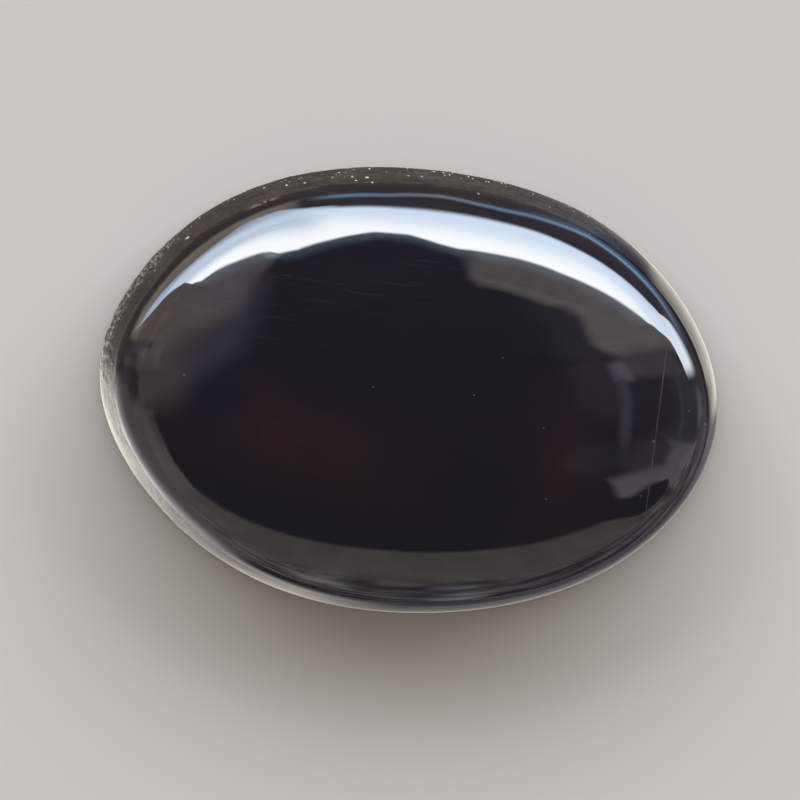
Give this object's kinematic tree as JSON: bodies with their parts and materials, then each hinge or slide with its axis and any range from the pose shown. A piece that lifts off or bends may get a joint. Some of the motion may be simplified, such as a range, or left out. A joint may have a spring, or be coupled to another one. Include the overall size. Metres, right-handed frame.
{
  "type": "carnelian stone",
  "caption": "Polished oval cabochon of very dark carnelian, with a low dome, a matt ground edge band and a flat back to rest or be set on.",
  "frame": {"origin": "middle of the flat back, which rests on the surface", "axes": "+X along the long axis of the oval, +Y along its short axis, +Z out of the back through the top of the dome"},
  "size_m": [0.0302, 0.0217, 0.0072],
  "materials": {
    "polished_stone": "mirror-polished dome, fine-ground matt edge band and back"
  },
  "bodies": {
    "root": {"carnelian_stone": "polished_stone"}
  },
  "joints": []
}
